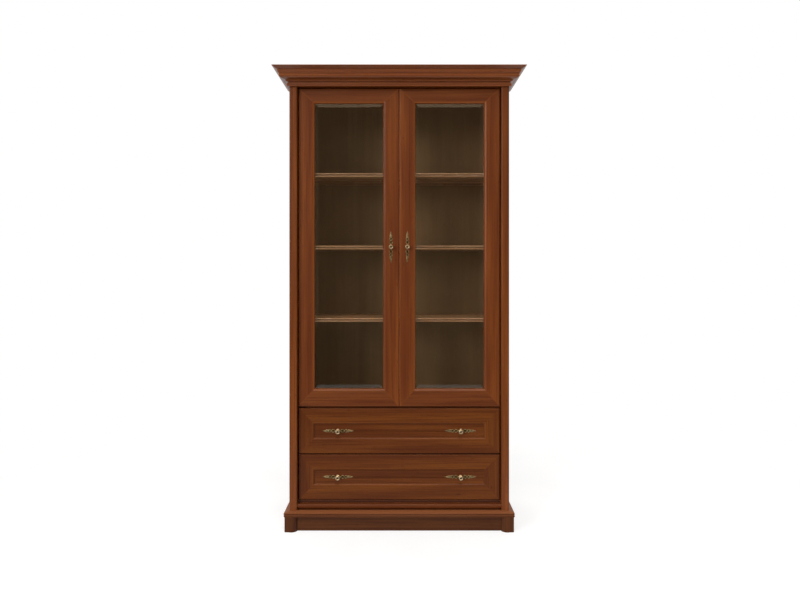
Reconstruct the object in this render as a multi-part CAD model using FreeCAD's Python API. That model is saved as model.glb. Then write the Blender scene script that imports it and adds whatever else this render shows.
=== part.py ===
"""Bookcase with two glass doors over two drawers, between pilasters, cornice and plinth.

Millimetres. X runs across the front, the front faces -Y, and +Z is up. The origin is on the
floor, in the middle of the object's width and depth.
"""
import FreeCAD, Part
import math
import os

V = FreeCAD.Vector

# ---- Driving dimensions: the case -------------------------------------------------------
body_width = 953.0            # across the outer faces of the side panels
body_depth = 350.0            # pilaster face to rear edge
board = 18.0                  # thickness of the case panels and shelves
back_thickness = 3.0
back_rebate = 8.0             # how far the back panel laps each side panel
pilaster_width = 34.0
pilaster_round = 5.0          # round on the two front edges of a pilaster
top_rail_thickness = 22.0
bottom_rail_setback = 6.0     # behind the pilaster faces
bottom_rail_thickness = 16.0  # in front of its upstand
rail_curve = 9.0              # how far the bottom rail's face curves back towards its foot
upstand_thickness = 10.0      # of the step at the back of the bottom rail
upstand_setback = 2.5
upstand_gap = 2.0             # upstand to lower drawer front

# ---- Driving dimensions: heights, from the floor up ------------------------------------
plinth_clearance = 1.5
plinth_board_height = 63.5
cap_height = 23.5
bottom_rail_height = 24.0
rail_reveal = 15.0            # bottom rail to lower drawer front
drawer_front_height = 197.0
drawer_reveal = 4.0           # between the two drawer fronts
door_drawer_reveal = 8.5
door_height = 1387.0
door_top_reveal = 3.0
cornice_height = 76.0
top_board_drop = 6.0          # cornice edge above the board inside it
top_board_thickness = 16.0

# ---- Driving dimensions: cornice and plinth --------------------------------------------
cornice_projection = 64.5
frieze_projection = 8.5
frieze_height = 13.0
frieze_quirk_height = 6.5     # sunk band between the frieze and the crown
frieze_quirk_depth = 3.3
cap_projection = 21.0
cap_seat = 40.0               # how far the cap frame reaches in under the case
quirk_depth = 2.4             # of the groove along the cap
plinth_projection = 1.0       # plinth boards out from the case
plinth_thickness = 18.0
foot_projection = 18.0
foot_length = 53.0
foot_round = 4.0
foot_sweep = 28.0             # length of the curve from a foot's face back to the board
foot_edge = 2.5               # round along the bottom of a foot's faces
rear_foot_depth = 40.0

# ---- Driving dimensions: doors and drawer fronts ---------------------------------------
front_setback = 20.0          # fronts stand behind the pilaster faces
front_thickness = 20.0
front_round = 4.0
swing_clearance = 0.6         # a door's swinging corner to the edges of the case panels
side_reveal = 3.5
meeting_gap = 2.0
stile_width = 69.5
door_top_rail_width = 64.0
door_bottom_rail_width = 78.0
drawer_rail_width = 69.0
door_bead = 11.5              # width of the moulding round the glass
drawer_bead = 9.0             # width of the moulding round a drawer panel
bead_fillet = 2.0             # raised flat along the outside of the moulding
bead_proud = 0.8
bead_edge = 1.5               # flat at the sight edge, after the ovolo
door_lip = 11.0               # wood in front of the glass
drawer_lip = 5.0              # wood in front of the drawer panel
drawer_panel_thickness = 12.0
glass_thickness = 5.0
glass_bevel = 16.0            # visible width of the bevel
glass_bevel_depth = 3.2
glass_clearance = 1.0

# ---- Driving dimensions: shelves -------------------------------------------------------
shelf_spacing = 319.2
lowest_shelf_rise = 379.3     # top of the lowest shelf above the middle panel
shelf_setback = 50.0          # shelf front edge behind the pilaster faces
shelf_side_gap = 1.0
shelf_rear_gap = 4.0
shelf_round = 4.5
shelf_groove_radius = 3.4
pin_radius = 2.5
pin_length = 16.0
pin_in_panel = 8.0
pin_inset = 60.0              # pins from the front and rear edges of a shelf
pin_pitch = 32.0              # spare holes above and below

# ---- Driving dimensions: door hinges ---------------------------------------------------
hinge_axis_in = 8.0           # axis from the door's outer edge
hinge_axis_back = 8.0         # axis behind the door's front face
hinge_end_distance = 100.0    # top and bottom hinge from the door's ends
middle_hinge_rise = 776.0     # middle hinge above the lower edge of the door
hinge_pin_radius = 2.0
pin_running_clearance = 0.05
knuckle_radius = 4.0
knuckle_height = 12.0
lug_thickness = 3.0
lug_gap = 0.3
notch_clearance = 0.5
arm_thickness = 4.0
arm_setback = 16.8            # hinge plate behind the front edge of the side panel
hinge_plate_thickness = 3.5
hinge_plate_depth = 24.0
hinge_plate_height = 50.0
cup_radius = 17.5
cup_wall = 1.0
cup_depth = 11.5
cup_centre_in = 32.0          # cup centre from the door's outer edge
flange_height = 60.0
flange_half_width = 12.0
flange_thickness = 1.2
screw_radius = 1.75
screw_head_radius = 3.5
screw_head_height = 1.5
screw_length = 12.0
screw_spacing = 32.0

# ---- Driving dimensions: drawers -------------------------------------------------------
drawer_side_gap = 5.0         # drawer side to packing strip
drawer_side_thickness = 15.0
drawer_side_drop = 32.0       # drawer side below the upper edge of its front
drawer_side_rise = 15.0       # drawer side above the lower edge of its front
drawer_length = 290.0
drawer_bottom_thickness = 4.0
drawer_bottom_rise = 8.0      # drawer bottom above the lower edge of its sides
drawer_groove_depth = 6.0
runner_height = 16.0
runner_bite = 6.0             # how far a runner reaches into the drawer side
runner_clearance = 0.3

# ---- Driving dimensions: handles -------------------------------------------------------
plate_length = 138.0
plate_disc_radius = 9.0
plate_thickness = 1.6
plate_loop_half_width = 7.5
plate_opening_half_width = 4.5
plate_leaf_half_width = 4.5
knob_radius = 10.0
knob_neck_radius = 4.5
knob_foot_radius = 7.0
knob_reach = 24.0
knob_head_thickness = 8.0
knob_dimple = 0.8
knob_screw_radius = 2.0
knob_screw_head_radius = 4.0
knob_screw_head_height = 2.0
door_knob_rise = 696.0        # knob centre above the lower edge of the door
drawer_knob_inset = 101.5     # knob centres in from the sight edges of a drawer front

dowel_radius = 4.0
dowel_length = 35.0
dowel_in_side = 12.0
dowels_per_end = 3

# ---- Places that follow from them ------------------------------------------------------
half_width = body_width / 2
overall_depth = body_depth + cornice_projection
face_y = -overall_depth / 2 + cornice_projection      # plane of the pilaster faces
rear_y = overall_depth / 2
front_y = face_y + front_setback                      # faces of doors and drawer fronts
front_back_y = front_y + front_thickness
axis_to_back = front_thickness - hinge_axis_back
corner_swing = math.hypot(hinge_axis_in, axis_to_back)
panel_front_y = front_y + hinge_axis_back + corner_swing + swing_clearance
inner_side_x = half_width - board
pilaster_inner_x = half_width - pilaster_width
front_half_width = pilaster_inner_x - side_reveal     # outer edges of doors and drawers
door_width = front_half_width - meeting_gap / 2
back_y = rear_y - back_thickness                      # inner face of the back panel

cap_z = plinth_clearance + plinth_board_height
case_z = cap_z + cap_height
rail_top_z = case_z + bottom_rail_height
lower_drawer_z = rail_top_z + rail_reveal
upper_drawer_z = lower_drawer_z + drawer_front_height + drawer_reveal
door_z = upper_drawer_z + drawer_front_height + door_drawer_reveal
door_top_z = door_z + door_height
cornice_z = door_top_z + door_top_reveal
overall_height = cornice_z + cornice_height
top_board_z = overall_height - top_board_drop - top_board_thickness
middle_panel_z = door_z - door_drawer_reveal / 2 - board / 2
top_panel_z = door_top_z - board / 2
shelf_tops = {
    "lower_shelf": middle_panel_z + board + lowest_shelf_rise,
    "middle_shelf": middle_panel_z + board + lowest_shelf_rise + shelf_spacing,
    "upper_shelf": middle_panel_z + board + lowest_shelf_rise + 2 * shelf_spacing,
}
hinge_x = front_half_width - hinge_axis_in
hinge_y = front_y + hinge_axis_back
hinge_heights = [
    door_z + hinge_end_distance,
    door_z + middle_hinge_rise,
    door_top_z - hinge_end_distance,
]
drawer_heights = {"lower_drawer": lower_drawer_z, "upper_drawer": upper_drawer_z}
drawer_half_width = pilaster_inner_x - drawer_side_gap
drawer_side_height = drawer_front_height - drawer_side_rise - drawer_side_drop
door_knob_in = stile_width / 2                        # knob centre from the meeting edge
far = 2 * overall_height                              # longer than anything here


# ---- Helpers ---------------------------------------------------------------------------
def block(x_range, y_range, z_range):
    """A box between two values of each coordinate, in either order."""
    lows = [min(pair) for pair in (x_range, y_range, z_range)]
    sizes = [abs(pair[1] - pair[0]) for pair in (x_range, y_range, z_range)]
    return Part.makeBox(*sizes, V(*lows))


def rod(radius, start, end):
    """A round bar from one point to another."""
    return Part.makeCylinder(radius, (end - start).Length, start, end - start)


def mirror_x(shape):
    """The same piece on the other side of the middle."""
    return shape.mirror(V(0, 0, 0), V(1, 0, 0))


def fuse_all(shapes):
    """One solid from pieces that touch or overlap."""
    return shapes[0].fuse(shapes[1:]).removeSplitter()


def outline(start, steps, place):
    """A closed face. A step is a point, or (point on the arc, end of the arc)."""
    edges = []
    here = start
    for step in steps:
        if isinstance(step[0], tuple):
            middle, end = step
            edges.append(Part.Arc(place(*here), place(*middle), place(*end)).toShape())
        else:
            end = step
            edges.append(Part.makeLine(place(*here), place(*end)))
        here = end
    edges.append(Part.makeLine(place(*here), place(*start)))
    return Part.Face(Part.Wire(edges))


def plan_prism(points):
    """An upright prism over a polygon in plan, taller than the object."""
    corners = [V(x, y, -far) for x, y in points]
    face = Part.Face(Part.makePolygon(corners + corners[:1]))
    return face.extrude(V(0, 0, 2 * far))


def round_arc(centre, radius, angle):
    """A point on a circle, as a pair."""
    turn = math.radians(angle)
    return (centre[0] + radius * math.cos(turn), centre[1] + radius * math.sin(turn))


def edge_moulding(start, steps, seat, side):
    """A length of mitred moulding round the front ('front') or left side ('left').

    The profile is in (distance out from the case, height); seat is how far it reaches in.
    """
    reach = cornice_projection + seat
    inner_x = half_width - seat
    inner_y = face_y + seat
    if side == "front":
        face = outline(start, steps, lambda out, z: V(-far, face_y - out, z))
        length = face.extrude(V(2 * far, 0, 0))
        plan = [(-inner_x, inner_y), (-inner_x - reach, inner_y - reach),
                (inner_x + reach, inner_y - reach), (inner_x, inner_y)]
    else:
        face = outline(start, steps, lambda out, z: V(-half_width - out, -far, z))
        length = face.extrude(V(0, 2 * far, 0))
        plan = [(-inner_x, inner_y), (-inner_x - reach, inner_y - reach),
                (-inner_x - reach, rear_y), (-inner_x, rear_y)]
    return length.common(plan_prism(plan))


# ---- Case ------------------------------------------------------------------------------
def pin_places():
    """Centres of the shelf pins on the left side panel, and of the spare holes."""
    used = []
    spare = []
    rows = [face_y + shelf_setback + pin_inset, back_y - shelf_rear_gap - pin_inset]
    for top in shelf_tops.values():
        z = top - board - pin_radius
        for y in rows:
            used.append((y, z))
            spare.append((y, z + pin_pitch))
            spare.append((y, z - pin_pitch))
    return used, spare


def dowel_places():
    """Centres of the dowels that join the case panels to a side panel."""
    places = []
    inset = (back_y - panel_front_y) / (dowels_per_end + 1)
    for z in (case_z, middle_panel_z, top_panel_z):
        for count in range(dowels_per_end):
            places.append((panel_front_y + inset * (count + 1), z + board / 2))
    return places


def dowel(y, z):
    start = V(-inner_side_x - dowel_in_side, y, z)
    return rod(dowel_radius, start, start + V(dowel_length, 0, 0))


def side_panel():
    """Left side panel, with its rear rebate and its holes."""
    panel = block((-half_width, -inner_side_x), (panel_front_y, rear_y), (case_z, top_board_z))
    rebate_x = -half_width + board - back_rebate
    panel = panel.cut(block((rebate_x, -inner_side_x), (back_y, rear_y), (0, far)))
    used, spare = pin_places()
    for y, z in used + spare:
        hole_end = V(-inner_side_x - pin_in_panel, y, z)
        panel = panel.cut(rod(pin_radius, hole_end, hole_end + V(board, 0, 0)))
    for y, z in dowel_places():
        panel = panel.cut(dowel(y, z))
    for screw in hinge_screws():
        panel = panel.cut(screw)
    return panel


def pilaster():
    """Left pilaster, its two front edges rounded."""
    post = block((-half_width, -pilaster_inner_x), (face_y, panel_front_y),
                 (case_z, top_board_z))
    edges = [edge for edge in post.Edges
             if edge.BoundBox.ZLength > board and edge.BoundBox.YMax < face_y + 1]
    return post.makeFillet(pilaster_round, edges)


def case_panel(bottom_z, panel_y):
    """A level panel between the side panels, drilled for its dowels."""
    panel = block((-inner_side_x, inner_side_x), (panel_y, back_y), (bottom_z, bottom_z + board))
    for y, z in dowel_places():
        if bottom_z < z < bottom_z + board:
            peg = dowel(y, z)
            panel = panel.cut(peg).cut(mirror_x(peg))
    return panel


def top_rail():
    """A plain rail between the pilasters, behind the cornice."""
    return block((-pilaster_inner_x, pilaster_inner_x), (face_y, face_y + top_rail_thickness),
                 (cornice_z, top_board_z))


def bottom_rail():
    """A rail whose face curves back towards its foot, with an upstand under the drawer."""
    height = rail_top_z - case_z
    upstand_front = bottom_rail_thickness + upstand_setback
    upstand_back = upstand_front + upstand_thickness
    upstand_top = lower_drawer_z - upstand_gap
    steps = [
        ((0.35, rail_top_z - 0.35), (0, rail_top_z - 1.2)),
        ((rail_curve * 0.3, rail_top_z - height * 0.6), (rail_curve, case_z)),
        (upstand_back, case_z),
        (upstand_back, upstand_top),
        (upstand_front, upstand_top),
        (upstand_front, rail_top_z),
    ]
    front = face_y + bottom_rail_setback
    side = outline((1.2, rail_top_z), steps, lambda back, z: V(-pilaster_inner_x, front + back, z))
    return side.extrude(V(2 * pilaster_inner_x, 0, 0))


def shelf(top):
    """A loose shelf with a beaded front edge: two rounds and a groove between them."""
    edge_y = face_y + shelf_setback
    half_x = inner_side_x - shelf_side_gap
    plank = block((-half_x, half_x), (edge_y, back_y - shelf_rear_gap), (top - board, top))
    edges = [edge for edge in plank.Edges
             if edge.BoundBox.XLength > board and edge.BoundBox.YMax < edge_y + 1]
    plank = plank.makeFillet(shelf_round, edges)
    groove_z = top - board / 2
    groove = rod(shelf_groove_radius, V(-far, edge_y, groove_z), V(far, edge_y, groove_z))
    return plank.cut(groove)


def shelf_pins():
    pins = []
    for y, z in pin_places()[0]:
        start = V(-inner_side_x - pin_in_panel, y, z)
        peg = rod(pin_radius, start, start + V(pin_length, 0, 0))
        pins += [peg, mirror_x(peg)]
    return pins


# ---- Cornice ---------------------------------------------------------------------------
def cornice_profile():
    """Crown moulding over a flat frieze, as (out, height)."""
    frieze_top = cornice_z + frieze_height
    crown_foot = frieze_top + frieze_quirk_height
    crown_height = overall_height - crown_foot
    reach = cornice_projection - frieze_projection
    quirk = frieze_projection - frieze_quirk_depth

    def at(across, up):
        """A point of the crown, in shares of its reach and height."""
        return (frieze_projection + reach * across, crown_foot + crown_height * up)

    start = (0, overall_height)
    steps = [
        at(1.0, 1.0),
        at(1.0, 0.968),
        at(0.723, 0.796),                       # sloping fascia
        at(0.643, 0.784),                       # its soffit
        at(0.625, 0.584),                       # fillet
        at(0.589, 0.566),
        (at(0.53, 0.476), at(0.5125, 0.398)),   # shallow hollow
        at(0.53, 0.384),
        (at(0.484, 0.26), at(0.33, 0.177)),     # ovolo
        at(0.08, 0.115),
        (at(0.0875, 0.069), at(0.034, 0.016)),  # small bead
        (quirk, crown_foot),
        (quirk, frieze_top),
        (frieze_projection, frieze_top),
        (frieze_projection, cornice_z),
        (0, cornice_z),
    ]
    return start, steps


# ---- Plinth ----------------------------------------------------------------------------
def cap_profile():
    """Cap moulding: a slope away from the case, a fillet, a quirk, a round nose and a return."""
    slope_end, fillet_z = cap_projection - 2.6, case_z - 5.2
    quirk_top, quirk_bottom = case_z - 10.0, case_z - 12.5
    quirk = cap_projection - quirk_depth
    start = (-cap_seat, case_z)
    steps = [
        (0, case_z),
        (slope_end, fillet_z),
        ((cap_projection - 0.7, fillet_z - 0.9), (cap_projection, fillet_z - 2.8)),
        (cap_projection, quirk_top),
        (quirk, quirk_top),
        (quirk, quirk_bottom),
        ((cap_projection - 0.3, (quirk_bottom + cap_z) / 2 + 0.8), (quirk - 0.6, cap_z + 1.0)),
        (quirk - 0.6, cap_z),
        (-cap_seat, cap_z),
    ]
    return start, steps


def corner_foot():
    """Left corner foot: a block round the corner whose two faces curve back to the boards."""
    outer_x, outer_y = -half_width - foot_projection, face_y - foot_projection
    board_x, board_y = -half_width - plinth_projection, face_y - plinth_projection
    end_x, end_y = outer_x + foot_length, outer_y + foot_length
    straight_x, straight_y = end_x - foot_sweep, end_y - foot_sweep
    deep = foot_projection - plinth_projection
    corner = round_arc((outer_x + foot_round, outer_y + foot_round), foot_round, 225)
    steps = [
        (corner, (outer_x + foot_round, outer_y)),
        (straight_x, outer_y),
        ((straight_x + foot_sweep * 0.67, outer_y + deep * 0.29), (end_x, board_y)),
        (end_x, board_y + plinth_thickness),
        (board_x + plinth_thickness, board_y + plinth_thickness),
        (board_x + plinth_thickness, end_y),
        (board_x, end_y),
        ((outer_x + deep * 0.29, straight_y + foot_sweep * 0.67), (outer_x, straight_y)),
    ]
    plan = outline((outer_x, outer_y + foot_round), steps, lambda x, y: V(x, y, 0))
    foot = plan.extrude(V(0, 0, cap_z))
    bottom = [edge for edge in foot.Edges if edge.BoundBox.ZMax < 1
              and min(edge.BoundBox.XMax - outer_x, edge.BoundBox.YMax - outer_y) < foot_round + 1]
    return foot.makeFillet(foot_edge, bottom)


def plinth_side():
    outer_x = -half_width - plinth_projection
    start_y = face_y - foot_projection + foot_length
    return block((outer_x, outer_x + plinth_thickness), (start_y, rear_y),
                 (plinth_clearance, cap_z))


# ---- Doors and drawer fronts -----------------------------------------------------------
def frame_member(width, bead, lip, length, place):
    """A stile or rail: (across from the outer edge, back from the face), then extruded."""
    bead_start = width - bead
    ovolo_start = bead_start + bead_fillet
    depth = lip - bead_edge
    round_mid = round_arc((front_round, front_round), front_round, 225)
    start = (0, front_round)
    steps = [
        (round_mid, (front_round, 0)),
        (bead_start, 0),
        (bead_start, -bead_proud),
        (ovolo_start, -bead_proud),
        ((ovolo_start + (width - ovolo_start) * 0.62, depth * 0.28), (width, depth)),
        (width, lip),
        (bead_start, lip),
        (bead_start, front_thickness),
        (0, front_thickness),
    ]
    return outline(start, steps, place).extrude(length)


def mitred_frame(x_range, z_range, stile, bottom, top, bead, lip):
    """Left stile, right stile, bottom rail and top rail, mitred corner to corner."""
    x0, x1 = x_range
    z0, z1 = z_range
    upright = V(0, 0, z1 - z0)
    level = V(x1 - x0, 0, 0)
    members = [
        frame_member(stile, bead, lip, upright, lambda u, v: V(x0 + u, front_y + v, z0)),
        frame_member(stile, bead, lip, upright, lambda u, v: V(x1 - u, front_y + v, z0)),
        frame_member(bottom, bead, lip, level, lambda u, v: V(x0, front_y + v, z0 + u)),
        frame_member(top, bead, lip, level, lambda u, v: V(x0, front_y + v, z1 - u)),
    ]
    outer = [(x0, z0), (x1, z0), (x1, z1), (x0, z1)]
    inner = [(x0 + stile, z0 + bottom), (x1 - stile, z0 + bottom),
             (x1 - stile, z1 - top), (x0 + stile, z1 - top)]
    sides = [(3, 0), (1, 2), (0, 1), (2, 3)]
    pieces = []
    for member, (first, second) in zip(members, sides):
        corners = [outer[first], outer[second], inner[second], inner[first]]
        points = [V(x, front_y - board, z) for x, z in corners]
        prism = Part.Face(Part.makePolygon(points + points[:1])).extrude(V(0, 3 * board, 0))
        pieces.append(member.common(prism))
    return pieces


def glass_front_y():
    """Plane of the flat part of the glass, whose bevel rests on the lip of the frame."""
    lap = door_bead - glass_clearance
    return front_y + door_lip - glass_bevel_depth * glass_bevel / (glass_bevel + lap)


def glass_pane(x_range, z_range):
    """A flat pane whose front edges slope back in a bevel."""
    edge = glass_bevel + door_bead - glass_clearance
    front = glass_front_y()
    slope_y = front + glass_bevel_depth

    def ring(inset, y):
        x0, x1 = x_range[0] + inset, x_range[1] - inset
        z0, z1 = z_range[0] + inset, z_range[1] - inset
        corners = [V(x0, y, z0), V(x1, y, z0), V(x1, y, z1), V(x0, y, z1)]
        return Part.makePolygon(corners + corners[:1])

    slope = Part.makeLoft([ring(0, slope_y), ring(edge, front)], True, True)
    slab = block(x_range, (slope_y, front + glass_thickness), z_range)
    return fuse_all([slope, slab])


def glazing_beads(x_range, z_range):
    """Four strips behind the glass, between it and the back of the frame."""
    x0, x1 = x_range
    z0, z1 = z_range
    depth = (glass_front_y() + glass_thickness, front_back_y)
    width = door_bead
    uprights = [block((x0, x0 + width), depth, z_range), block((x1 - width, x1), depth, z_range)]
    inner = (x0 + width, x1 - width)
    return uprights + [block(inner, depth, (z0, z0 + width)), block(inner, depth, (z1 - width, z1))]


# ---- Hinges: left door, axis upright at (-hinge_x, hinge_y) ----------------------------
def lug_heights(z):
    """Lower faces of the two lugs of a hinge at height z."""
    upper = z + knuckle_height / 2 + lug_gap
    lower = z - knuckle_height / 2 - lug_gap - lug_thickness
    return lower, upper


def hinge_arm(z):
    """Hinge plate on the side panel with the arm that carries the knuckle."""
    plate_y = panel_front_y + arm_setback
    half = knuckle_height / 2
    plate_face = -inner_side_x + hinge_plate_thickness
    plate = block((-inner_side_x, plate_face), (plate_y, plate_y + hinge_plate_depth),
                  (z - hinge_plate_height / 2, z + hinge_plate_height / 2))
    arm_right = -hinge_x + arm_thickness / 2
    foot = block((plate_face, arm_right), (plate_y, plate_y + hinge_plate_depth),
                 (z - half, z + half))
    arm = block((arm_right - arm_thickness, arm_right), (hinge_y, plate_y + hinge_plate_depth),
                (z - half, z + half))
    knuckle = rod(knuckle_radius, V(-hinge_x, hinge_y, z - half), V(-hinge_x, hinge_y, z + half))
    solid = fuse_all([plate, foot, arm, knuckle])
    bore = rod(hinge_pin_radius + pin_running_clearance,
               V(-hinge_x, hinge_y, z - knuckle_height), V(-hinge_x, hinge_y, z + knuckle_height))
    solid = solid.cut(bore)
    for screw in screws_at(z):
        solid = solid.cut(screw)
    return solid


def screws_at(z):
    """The two screws of one hinge plate."""
    y = panel_front_y + arm_setback + hinge_plate_depth / 2
    face_x = -inner_side_x + hinge_plate_thickness
    screws = []
    for rise in (-screw_spacing / 2, screw_spacing / 2):
        top = V(face_x + screw_head_height, y, z + rise)
        under = V(face_x, y, z + rise)
        head = rod(screw_head_radius, under, top)
        shank = rod(screw_radius, under, under - V(screw_length, 0, 0))
        screws.append(fuse_all([head, shank]))
    return screws


def hinge_screws():
    return [screw for z in hinge_heights for screw in screws_at(z)]


def hinge_pin(z):
    lower, upper = lug_heights(z)
    return rod(hinge_pin_radius, V(-hinge_x, hinge_y, lower),
               V(-hinge_x, hinge_y, upper + lug_thickness))


def hinge_cup(z):
    """Round cup let into the stile, its flange, and the two lugs that hold the pin."""
    centre_x = -front_half_width + cup_centre_in
    bottom_y = front_back_y - cup_depth
    cup = rod(cup_radius, V(centre_x, bottom_y, z), V(centre_x, front_back_y, z))
    flange = block((centre_x - cup_radius, centre_x + flange_half_width),
                   (front_back_y, front_back_y + flange_thickness),
                   (z - flange_height / 2, z + flange_height / 2))
    solids = [cup, flange]
    for lug_z in lug_heights(z):
        eye = rod(knuckle_radius, V(-hinge_x, hinge_y, lug_z),
                  V(-hinge_x, hinge_y, lug_z + lug_thickness))
        web = block((-hinge_x, centre_x - cup_radius / 2),
                    (hinge_y - knuckle_radius, hinge_y + knuckle_radius),
                    (lug_z, lug_z + lug_thickness))
        solids += [eye, web]
    solid = fuse_all(solids)
    hollow = rod(cup_radius - cup_wall, V(centre_x, bottom_y + cup_wall, z),
                 V(centre_x, front_back_y + board, z))
    return solid.cut(hollow).cut(hinge_pin(z))


def hinge_pocket(z):
    """Wood taken out of the stile for the cup, its lugs and the swing of the arm."""
    centre_x = -front_half_width + cup_centre_in
    cup = rod(cup_radius, V(centre_x, front_back_y - cup_depth, z),
              V(centre_x, front_back_y + board, z))
    half = knuckle_height / 2 + lug_gap + lug_thickness + notch_clearance
    notch = block((-front_half_width - board, centre_x),
                  (hinge_y - knuckle_radius - notch_clearance, front_back_y + board),
                  (z - half, z + half))
    return cup.fuse(notch)


# ---- Handles ---------------------------------------------------------------------------
def lens(start, end, half_width_of_lens):
    """A pointed oval plate along X, between two places on the handle's length."""
    middle = (start + end) / 2
    steps = [((middle, half_width_of_lens), (end, 0)), ((middle, -half_width_of_lens), (start, 0))]
    edges = []
    here = (start, 0)
    for through, stop in steps:
        ends = [V(x, 0, z) for x, z in (here, through, stop)]
        edges.append(Part.Arc(*ends).toShape())
        here = stop
    return Part.Face(Part.Wire(edges)).extrude(V(0, -plate_thickness, 0))


def backplate():
    """Pierced backplate at the origin, its length along X, its face towards -Y."""
    tip = plate_length / 2
    loop = (plate_disc_radius - 2, tip * 0.62)
    opening = (plate_disc_radius + 4, tip * 0.55)
    disc = rod(plate_disc_radius, V(0, 0, 0), V(0, -plate_thickness, 0))
    wing = lens(*loop, plate_loop_half_width)
    wing = wing.cut(lens(*opening, plate_opening_half_width))
    wing = wing.fuse(lens(loop[1] - 3, tip, plate_leaf_half_width))
    return fuse_all([disc, wing, mirror_x(wing)])


def knob():
    """Turned knob on the backplate, facing -Y."""
    head_back = knob_reach - knob_head_thickness
    foot_end = plate_thickness + 2
    rim = knob_reach - knob_head_thickness / 2
    shoulder = knob_radius * 0.87
    steps = [
        (knob_foot_radius, plate_thickness),
        (knob_foot_radius, foot_end),
        (knob_neck_radius, foot_end + 1),
        (knob_neck_radius, head_back - 2),
        (knob_neck_radius + 1.5, head_back),
        ((shoulder, (head_back + rim) / 2 - 0.4), (knob_radius, rim)),
        ((shoulder, (rim + knob_reach) / 2 + 0.6), (knob_radius / 2, knob_reach)),
        (knob_radius / 2 - 1, knob_reach - knob_dimple),
        (0, knob_reach - knob_dimple),
    ]
    half = outline((0, plate_thickness), steps, lambda r, out: V(r, -out, 0))
    return half.revolve(V(0, 0, 0), V(0, 1, 0), 360)


def knob_screw(depth):
    """Screw through wood of the given thickness into the knob."""
    seat = V(0, depth, 0)
    shank = rod(knob_screw_radius, seat, V(0, -knob_reach / 2, 0))
    head = rod(knob_screw_head_radius, seat, seat + V(0, knob_screw_head_height, 0))
    return fuse_all([shank, head])


def handle(centre, upright, depth):
    """Backplate, knob and screw at a place on a front."""
    screw = knob_screw(depth)
    solids = [backplate().cut(screw), knob().cut(screw), screw]
    if upright:
        solids = [solid.rotated(V(0, 0, 0), V(0, 1, 0), 90) for solid in solids]
    return [solid.translated(centre) for solid in solids]


def screw_hole(centre):
    return rod(knob_screw_radius, centre - V(0, board, 0), centre + V(0, 2 * board, 0))


# ---- Left door -------------------------------------------------------------------------
def left_door():
    """Every piece of the left door, by name."""
    x_range = (-front_half_width, -front_half_width + door_width)
    z_range = (door_z, door_top_z)
    outer, inner, bottom, top = mitred_frame(
        x_range, z_range, stile_width, door_bottom_rail_width, door_top_rail_width,
        door_bead, door_lip)
    for z in hinge_heights:
        outer = outer.cut(hinge_pocket(z))
    knob_centre = V(x_range[1] - door_knob_in, front_y, door_z + door_knob_rise)
    inner = inner.cut(screw_hole(knob_centre))
    rebate_in = stile_width - door_bead
    rebate_x = (x_range[0] + rebate_in, x_range[1] - rebate_in)
    rebate_z = (door_z + door_bottom_rail_width - door_bead,
                door_top_z - door_top_rail_width + door_bead)
    glass_x = (rebate_x[0] + glass_clearance, rebate_x[1] - glass_clearance)
    glass_z = (rebate_z[0] + glass_clearance, rebate_z[1] - glass_clearance)
    return {
        "door_outer_stile": [outer],
        "door_inner_stile": [inner],
        "door_bottom_rail": [bottom],
        "door_top_rail": [top],
        "door_glass": [glass_pane(glass_x, glass_z)],
        "door_glazing_beads": glazing_beads(rebate_x, rebate_z),
        "door_handle": handle(knob_centre, True, front_thickness),
        "hinge_cups": [hinge_cup(z) for z in hinge_heights],
        "hinge_pins": [hinge_pin(z) for z in hinge_heights],
    }


# ---- Drawers ---------------------------------------------------------------------------
def runner_height_of(front_z):
    """Lower face of the runners of the drawer whose front starts at front_z."""
    return front_z + drawer_side_rise + (drawer_side_height - runner_height) / 2


def runner(front_z):
    """Left hardwood runner: it lies on its packing strip and enters the drawer side."""
    z = runner_height_of(front_z)
    inner_x = -drawer_half_width + runner_bite
    return block((-pilaster_inner_x, inner_x), (panel_front_y, panel_front_y + drawer_length),
                 (z, z + runner_height))


def packing_strip(front_z):
    z = front_z + drawer_side_rise
    return block((-inner_side_x, -pilaster_inner_x), (panel_front_y, back_y),
                 (z, z + drawer_side_height))


def drawer(front_z):
    """Every piece of one drawer, by name."""
    frame = mitred_frame((-front_half_width, front_half_width),
                         (front_z, front_z + drawer_front_height),
                         stile_width, drawer_rail_width, drawer_rail_width,
                         drawer_bead, drawer_lip)
    seat = drawer_bead - glass_clearance
    half_panel = front_half_width - stile_width + seat
    panel_y = front_y + drawer_lip
    panel = block((-half_panel, half_panel), (panel_y, panel_y + drawer_panel_thickness),
                  (front_z + drawer_rail_width - seat,
                   front_z + drawer_front_height - drawer_rail_width + seat))
    handles = []
    knob_x = front_half_width - stile_width - drawer_knob_inset
    for x in (-knob_x, knob_x):
        centre = V(x, panel_y, front_z + drawer_front_height / 2)
        panel = panel.cut(screw_hole(centre))
        handles += handle(centre, False, drawer_panel_thickness)

    side_z = front_z + drawer_side_rise
    rear = front_back_y + drawer_length
    inner_x = drawer_half_width - drawer_side_thickness
    bottom_z = side_z + drawer_bottom_rise
    bottom_half = inner_x + drawer_groove_depth
    bottom = block((-bottom_half, bottom_half), (front_back_y, rear),
                   (bottom_z, bottom_z + drawer_bottom_thickness))
    runner_z = runner_height_of(front_z)
    side = block((-drawer_half_width, -inner_x), (front_back_y, rear),
                 (side_z, side_z + drawer_side_height))
    groove = block((-drawer_half_width - board, -drawer_half_width + runner_bite + 1),
                   (front_back_y - board, rear + board),
                   (runner_z - 2 * runner_clearance, runner_z + runner_height + runner_clearance))
    side = side.cut(groove).cut(bottom)
    back = block((-inner_x, inner_x), (rear - drawer_side_thickness, rear),
                 (bottom_z + drawer_bottom_thickness, side_z + drawer_side_height))
    return {
        "frame": frame,
        "panel": [panel],
        "sides": [side, mirror_x(side)],
        "back": [back],
        "bottom": [bottom],
        "handles": handles,
    }


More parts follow.
